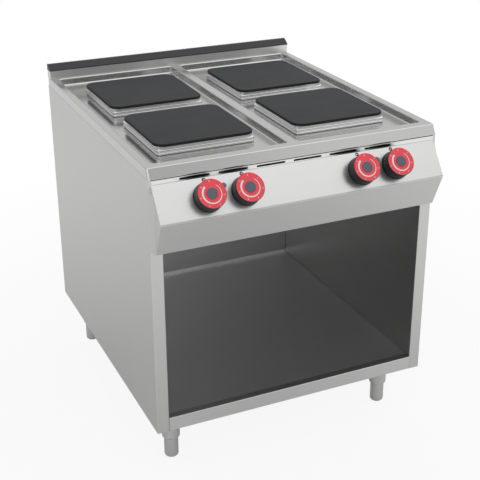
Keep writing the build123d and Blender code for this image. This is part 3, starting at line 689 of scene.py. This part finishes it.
def facing(place: Vector, outward: Vector, up: Vector) -> Matrix:
    """Place whose Z axis points outward and whose Y axis points up.

    Args:
        place: The origin.
        outward: Direction of the Z axis.
        up: Direction of the Y axis.

    Returns:
        The matrix from the place to the stove.
    """
    across = up.cross(outward)
    turn = Matrix((across, up, outward)).transposed()
    return Matrix.Translation(place) @ turn.to_4x4()


def middle(node: str) -> Vector:
    """Centre of a node's box."""
    low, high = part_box(node)
    return (Vector(low) + Vector(high)) / 2


class PanelFace:
    """The leaning face of the control panel, as the joints of the knobs give it."""

    def __init__(self) -> None:
        """Read the places and the direction of the knobs' axes."""
        joints = {joint["name"]: joint for joint in frame["record"]["behaviour"]["joints"]}
        self.centres = [Vector(joints[f"knob_{n}_turn"]["pos_m"]) for n in KNOBS]
        self.outward = Vector(joints["knob_1_turn"]["axis"]).normalized()
        self.up = self.outward.cross(Vector((1.0, 0.0, 0.0)))

    def at(self, x: float, rise: float, out: float = 0.0) -> Matrix:
        """Place on the panel.

        Args:
            x: Place across the stove.
            rise: Distance up the panel from the knobs' axes.
            out: Height over the panel.

        Returns:
            The matrix from that place to the stove.
        """
        origin = Vector((x, self.centres[0].y, self.centres[0].z))
        return facing(origin + self.up * rise + self.outward * out, self.outward, self.up)


# The stove's sub-assemblies

@dataclass(frozen=True)
class Cabinet:
    """Side walls, back, floor and rails, with the screws that hold the back."""

    outer: BrushedSteel = BrushedSteel("side_sheet", Grain.ALONG_Z, (0.61, 0.61, 0.605), 0.33)
    rail: BrushedSteel = BrushedSteel("rail_sheet", Grain.ALONG_X, (0.66, 0.66, 0.655), 0.33)
    # The inner sheets are the same steel as the sides with a darker tone: painted shade for the dim inside
    # of the cabinet.
    inner: BrushedSteel = BrushedSteel("inner_sheet_painted_shade", Grain.ALONG_X, (0.51, 0.51, 0.51), 0.42)
    # The cabinet floor is the same steel with a much paler tone: painted light where the glow from the
    # front falls on it.
    base: BrushedSteel = BrushedSteel("floor_sheet_painted_light", Grain.ALONG_X, (0.96, 0.96, 0.96), 0.40)
    sheet: float = 1.2 * MILLIMETRE
    screw_edge: float = 11.0 * MILLIMETRE
    screw_head: float = 4.6 * MILLIMETRE
    screw_height: float = 2.6 * MILLIMETRE
    screw_bevel: float = 0.5 * MILLIMETRE
    screw_rows: int = 5
    washer: float = 6.6 * MILLIMETRE
    washer_height: float = 0.9 * MILLIMETRE
    washer_bevel: float = 0.25 * MILLIMETRE
    washer_sides: int = 24

    def build(self) -> None:
        """Dress the cabinet and add its screws."""
        dress(self.outer.build(), "side_panel_left", "side_panel_right", "cheek_left", "cheek_right")
        dress(self.rail.build(), "front_bottom_rail")
        dress(self.base.build(), "cabinet_floor")
        dress(self.inner.build(), "back_panel", "front_top_rail", "heat_shield",
              "rear_top_rail", "switch_bracket", *(f"heater_pan_{place}" for place in PLACES))
        self._back_screws()

    def _back_screws(self) -> None:
        """Screws along both sides of the back panel, seen from behind."""
        low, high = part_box("back_panel")
        builder = bmesh.new()
        for x in (low[0] + self.screw_edge, high[0] - self.screw_edge):
            for row in range(self.screw_rows):
                share = (row + 0.5) / self.screw_rows
                z = low[2] + (high[2] - low[2]) * share
                place = facing(Vector((x, low[1] + self.sheet, z)), Vector((0, 1, 0)), Vector((0, 0, 1)))
                head = place @ Matrix.Translation((0.0, 0.0, self.washer_height))
                stud(builder, self.washer_sides, self.washer, self.washer_height, self.washer_bevel, place)
                stud(builder, HEXAGON, self.screw_head, self.screw_height, self.screw_bevel, head)
        furnish("back_screws", builder, ZINC.build(), "root")


@dataclass(frozen=True)
class Worktop:
    """Pressed worktop, splashback and the dark cap on it."""

    steel: BrushedSteel = BrushedSteel(
        "worktop_sheet", Grain.ALONG_X, (0.61, 0.61, 0.605), 0.19,
        streaks=0.01, clouding=0.03, relief=0.0, wear=0.25,
    )
    # The splashback steel has a paler tone than the worktop: painted light that brightens its face, which
    # mirrors the dark plates.
    splash: BrushedSteel = BrushedSteel(
        "splash_sheet_painted_light", Grain.ALONG_X, (0.74, 0.74, 0.735), 0.33,
        streaks=0.01, clouding=0.03, relief=0.0, wear=0.3,
    )
    cap: MouldedPlastic = MouldedPlastic("cap_paint", (0.030, 0.031, 0.034), 0.42)

    def build(self) -> None:
        """Dress the worktop and what stands on its rear edge."""
        dress(self.steel.build(), "worktop")
        dress(self.splash.build(), "splashback")
        dress(self.cap.build(), "splashback_cap")


@dataclass(frozen=True)
class HotPlates:
    """Cast plates on banded surrounds, with gaskets and elements below."""

    band: BrushedSteel = BrushedSteel(
        "surround_sheet", Grain.ALONG_Z, (0.76, 0.76, 0.76), 0.13, streaks=0.02, clouding=0.02,
    )
    rubber: MouldedPlastic = MouldedPlastic("gasket_ring", (0.42, 0.42, 0.41), 0.6)
    sheath: BrushedSteel = BrushedSteel("element_sheath", Grain.ALONG_X, (0.2, 0.19, 0.18), 0.5)

    def build(self) -> None:
        """Dress plates, surrounds, gaskets and elements."""
        dress(self.band.build(), *(f"plate_frame_{place}" for place in PLACES))
        dress(self.rubber.build(), "plate_gaskets")
        dress(self.sheath.build(), "heating_elements")
        for place in PLACES:
            node = f"hot_plate_{place}"
            low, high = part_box(node)
            centre = middle(node)
            dress(CastPlate(node, (centre.x, centre.y), (high[0] - low[0]) / 2).build(), node)


@dataclass(frozen=True)
class ControlUnit:
    """Leaning panel with its skirt, vent strip, signs, lamps and switches."""

    steel: BrushedSteel = BrushedSteel("panel_sheet", Grain.ALONG_X, (0.65, 0.65, 0.645), 0.30)
    # The vent strip's steel has a paler tone than the panel: painted light that lifts the shadow the
    # worktop lip casts on it.
    vent: BrushedSteel = BrushedSteel("vent_sheet_painted_light", Grain.ALONG_X, (0.84, 0.84, 0.835), 0.30)
    lens: MouldedPlastic = MouldedPlastic("pilot_lens", (0.05, 0.27, 0.26), 0.2)
    bezel: BrushedSteel = BrushedSteel("bezel_steel", Grain.ALONG_X, (0.62, 0.62, 0.62), 0.25)
    ink: MouldedPlastic = MouldedPlastic("sign_ink", (0.012, 0.012, 0.013), 0.5)
    body: MouldedPlastic = MouldedPlastic("switch_moulding", (0.72, 0.71, 0.67), 0.5)
    sign_rise: float = 44.2 * MILLIMETRE
    sign_radius: float = 5.0 * MILLIMETRE
    sign_line: float = 1.9 * MILLIMETRE
    sign_spot: float = 1.2 * MILLIMETRE
    sign_spread: float = 1.6 * MILLIMETRE
    spot_growth: float = 1.45
    spot_sides: int = 12
    film: float = 0.15 * MILLIMETRE
    lamp_rise: float = 22.7 * MILLIMETRE
    lamp_radius: float = 6.05 * MILLIMETRE
    bezel_radius: float = 7.8 * MILLIMETRE
    bezel_height: float = 1.5 * MILLIMETRE
    lip: tuple[float, float] = (0.15, 0.8)
    rounding: tuple[float, float] = (0.5, 0.45)
    bezel_steps: int = 40
    switch_back: float = 52.0 * MILLIMETRE
    tab_width: float = 6.3 * MILLIMETRE
    tab_length: float = 8.0 * MILLIMETRE
    tab_thickness: float = 0.8 * MILLIMETRE
    tab_spread: float = 12.0 * MILLIMETRE
    tab_columns: tuple[float, ...] = (-1.0, -1.0 / 3, 1.0 / 3, 1.0)
    tab_rows: tuple[float, ...] = (-1.0, 1.0)

    def build(self, panel: PanelFace) -> None:
        """Dress the unit and add what is printed or mounted on it.

        Args:
            panel: The face that carries signs, lamps and switches.
        """
        dress(self.steel.build(), "control_panel", "front_skirt")
        dress(self.vent.build(), "vent_strip")
        dress(self.lens.build(), "pilot_lamp_left", "pilot_lamp_right")
        dress(self.body.build(), "rotary_switches")
        self._signs(panel)
        self._bezels(panel)
        self._tabs(panel)

    def _signs(self, panel: PanelFace) -> None:
        """Round sign over each knob: four spots, the largest for the plate that it works."""
        ink = self.ink.build()
        for number, centre, plate in zip(KNOBS, panel.centres, SIGN_ORDER):
            place = panel.at(centre.x, self.sign_rise)
            builder = bmesh.new()
            inner = self.sign_radius - self.sign_line
            lathe(builder, [(inner, 0.0), (inner, self.film), (self.sign_radius, self.film),
                            (self.sign_radius, 0.0)], place)
            for spot, (side, row) in enumerate(((-1, -1), (1, -1), (-1, 1), (1, 1))):
                shift = Matrix.Translation((side * self.sign_spread, row * self.sign_spread, 0.0))
                radius = self.sign_spot * (self.spot_growth if spot == plate else 1.0)
                stud(builder, self.spot_sides, radius, self.film, self.film / 4, place @ shift)
            furnish(f"plate_sign_{number}", builder, ink, "root")

    def _bezels(self, panel: PanelFace) -> None:
        """Bright collar round each pilot lamp, its lip and rounding as shares of its height."""
        finish = self.bezel.build()
        inner, outer, height = self.lamp_radius, self.bezel_radius, self.bezel_height
        profile = [
            (inner, 0.0),
            (inner, height * self.lip[1]),
            (inner + height * self.lip[0], height),
            (outer - height * self.rounding[0], height),
            (outer, height * self.rounding[1]),
            (outer, 0.0),
        ]
        for side in ("left", "right"):
            place = panel.at(middle(f"pilot_lamp_{side}").x, self.lamp_rise)
            builder = bmesh.new()
            lathe(builder, profile, place, self.bezel_steps)
            furnish(f"pilot_bezel_{side}", builder, finish, "root")

    def _tabs(self, panel: PanelFace) -> None:
        """Two rows of connection tabs on the back of each rotary switch."""
        builder = bmesh.new()
        for centre in panel.centres:
            for side in self.tab_columns:
                for row in self.tab_rows:
                    place = panel.at(centre.x + side * self.tab_spread, row * self.tab_spread,
                                     -self.switch_back - self.tab_length / 2)
                    size = Matrix.Diagonal((self.tab_thickness, self.tab_width, self.tab_length, 1.0))
                    shape = bmesh.new()
                    bmesh.ops.create_cube(shape, size=1.0, matrix=size)
                    bmesh.ops.bevel(
                        shape, geom=shape.edges[:], offset=self.tab_thickness / 5,
                        offset_type="OFFSET", segments=1, profile=0.5, affect="EDGES", material=-1,
                    )
                    settle(builder, shape, place)
        furnish("switch_tabs", builder, BRASS.build(), "root")


@dataclass(frozen=True)
class Knobs:
    """Four black knobs with red dials, white marks and grey caps."""

    shell: MouldedPlastic = MouldedPlastic("knob_plastic", (0.010, 0.010, 0.011), 0.40, shine=0.25)
    face: MouldedPlastic = MouldedPlastic("dial_face", (0.98, 0.075, 0.105), 0.40)
    cap: MouldedPlastic = MouldedPlastic("dial_centre", (0.11, 0.125, 0.16), 0.45)
    paint: MouldedPlastic = MouldedPlastic("mark_paint", (0.92, 0.91, 0.90), 0.45)
    steel: BrushedSteel = BrushedSteel("spindle_steel", Grain.ALONG_Z, (0.58, 0.58, 0.575), 0.3)
    dial_half: float = 0.6 * MILLIMETRE
    film: float = 0.15 * MILLIMETRE
    sweep_start: float = 36.0
    sweep_end: float = 323.0
    sweep_steps: int = 96
    sweep_radius: float = 0.66
    sweep_thin: float = 0.03
    sweep_thick: float = 0.13
    figure_radius: float = 0.86
    figure_height: float = 6.2 * MILLIMETRE
    figures: str = "0123456"

    def build(self, panel: PanelFace) -> None:
        """Dress the knobs and print their dials.

        Args:
            panel: The face that the knobs stand on.
        """
        dress(self.shell.build(), *(f"knob_{number}" for number in KNOBS))
        dress(self.face.build(), *(f"knob_dial_{number}" for number in KNOBS))
        dress(self.cap.build(), *(f"knob_cap_{number}" for number in KNOBS))
        dress(self.steel.build(), *(f"switch_spindle_{number}" for number in KNOBS))
        paint = self.paint.build()
        for number in KNOBS:
            self._marks(number, panel, paint)

    def _marks(self, number: int, panel: PanelFace, paint: bpy.types.Material) -> None:
        """White sweep that grows with the setting, and the figures round it."""
        dial = f"knob_dial_{number}"
        low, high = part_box(dial)
        radius = (high[0] - low[0]) / 2
        centre = middle(dial)
        place = facing(centre + panel.outward * self.dial_half, panel.outward, panel.up)
        builder = bmesh.new()
        self._sweep(builder, radius, place)
        for step, figure in enumerate(self.figures):
            turn = step * math.tau / len(self.figures)
            round_dial = Matrix.Rotation(-turn, 4, "Z")
            out = Matrix.Translation((0.0, radius * self.figure_radius, 0.0))
            words(builder, figure, self.figure_height, self.film, place @ round_dial @ out)
        furnish(f"dial_marks_{number}", builder, paint, f"knob_{number}")

    def _sweep(self, builder: bmesh.types.BMesh, radius: float, place: Matrix) -> None:
        """Arc whose width grows clockwise from one end to the other."""
        middle_radius = radius * self.sweep_radius
        thick = radius * self.sweep_thick
        shape = bmesh.new()
        inner = shape.verts.new((0.0, middle_radius - thick / 2, 0.0))
        outer = shape.verts.new((0.0, middle_radius + thick / 2, 0.0))
        edge = shape.edges.new((inner, outer))
        start = math.radians(self.sweep_start)
        span = math.radians(self.sweep_end) - start
        turned = Matrix.Rotation(-start, 3, "Z")
        bmesh.ops.rotate(shape, cent=(0, 0, 0), matrix=turned, verts=[inner, outer])
        bmesh.ops.spin(
            shape, geom=[inner, outer, edge], cent=(0, 0, 0), axis=(0, 0, 1), angle=-span,
            steps=self.sweep_steps, use_merge=False, use_duplicate=False,
        )
        for vert in shape.verts:
            reach = vert.co.xy.length
            turn = math.atan2(vert.co.x, vert.co.y) % math.tau
            share = max(0.0, min(1.0, (turn - start) / span))
            width = self.sweep_thin + (self.sweep_thick - self.sweep_thin) * share
            side = 0.5 if reach > middle_radius else -0.5
            vert.co.xy *= (middle_radius + side * width * radius) / reach
        raised = bmesh.ops.extrude_face_region(shape, geom=shape.faces[:])["geom"]
        lifted = [item for item in raised if isinstance(item, bmesh.types.BMVert)]
        bmesh.ops.translate(shape, verts=lifted, vec=(0.0, 0.0, self.film))
        settle(builder, shape, place)


@dataclass(frozen=True)
class Legs:
    """Sleeves under the cabinet and the feet in them."""

    steel: BrushedSteel = BrushedSteel("leg_tube", Grain.ALONG_Z, (0.63, 0.63, 0.625), 0.30)

    def build(self) -> None:
        """Dress sleeves and feet."""
        finish = self.steel.build()
        for place in PLACES:
            dress(finish, f"leg_socket_{place}", f"leg_foot_{place}")


@dataclass(frozen=True)
class MainsConnection:
    """Gland, terminal block and earth stud in the rear channel."""

    gland: MouldedPlastic = MouldedPlastic("gland_moulding", (0.35, 0.36, 0.37), 0.5)
    block: MouldedPlastic = MouldedPlastic("block_moulding", (0.72, 0.71, 0.67), 0.5)
    poles: int = 5
    bolt_sides: int = 20
    screw_radius: float = 3.4 * MILLIMETRE
    screw_sink: float = 6.0 * MILLIMETRE
    screw_height: float = 3.0 * MILLIMETRE
    screw_bevel: float = 0.4 * MILLIMETRE
    earth_shift: float = 45.0 * MILLIMETRE
    nut: float = 6.5 * MILLIMETRE
    nut_height: float = 5.0 * MILLIMETRE
    nut_bevel: float = 0.7 * MILLIMETRE
    bolt: float = 3.0 * MILLIMETRE
    bolt_length: float = 14.0 * MILLIMETRE
    bolt_bevel: float = 0.6 * MILLIMETRE
    washer: float = 8.0 * MILLIMETRE
    washer_height: float = 1.2 * MILLIMETRE
    washer_bevel: float = 0.3 * MILLIMETRE
    washer_sides: int = 28

    def build(self) -> None:
        """Dress the connection and add its screws and the earth stud."""
        dress(self.gland.build(), "cable_gland")
        dress(self.block.build(), "terminal_block")
        self._terminal_screws()
        self._earth_stud()

    def _terminal_screws(self) -> None:
        """Brass screw in each well of the terminal block."""
        low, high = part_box("terminal_block")
        pitch = (high[0] - low[0]) / self.poles
        builder = bmesh.new()
        for pole in range(self.poles):
            foot = Matrix.Translation((
                low[0] + (pole + 0.5) * pitch, (low[1] + high[1]) / 2,
                high[2] - self.screw_sink - self.screw_height,
            ))
            stud(builder, self.bolt_sides, self.screw_radius, self.screw_height, self.screw_bevel, foot)
        furnish("terminal_screws", builder, BRASS.build(), "root")

    def _earth_stud(self) -> None:
        """Bolt, washer and nut under the channel, beside the gland."""
        gland = middle("cable_gland")
        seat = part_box("rear_top_rail")[0][2]
        builder = bmesh.new()
        foot = Vector((gland.x - self.earth_shift, gland.y, seat))
        place = facing(foot, Vector((0, 0, -1)), Vector((0, 1, 0)))
        above = place @ Matrix.Translation((0.0, 0.0, self.washer_height))
        stud(builder, self.washer_sides, self.washer, self.washer_height, self.washer_bevel, place)
        stud(builder, HEXAGON, self.nut, self.nut_height, self.nut_bevel, above)
        stud(builder, self.bolt_sides, self.bolt, self.bolt_length, self.bolt_bevel, place)
        furnish("earth_stud", builder, ZINC.build(), "root")


def main() -> None:
    """Build the studio and the stove's looks."""
    logging.basicConfig(level=logging.INFO, format="%(name)s: %(message)s")
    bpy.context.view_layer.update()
    Studio().build()
    panel = PanelFace()
    Cabinet().build()
    Worktop().build()
    HotPlates().build()
    ControlUnit().build(panel)
    Knobs().build(panel)
    Legs().build()
    MainsConnection().build()


if __name__ == "__main__":
    main()
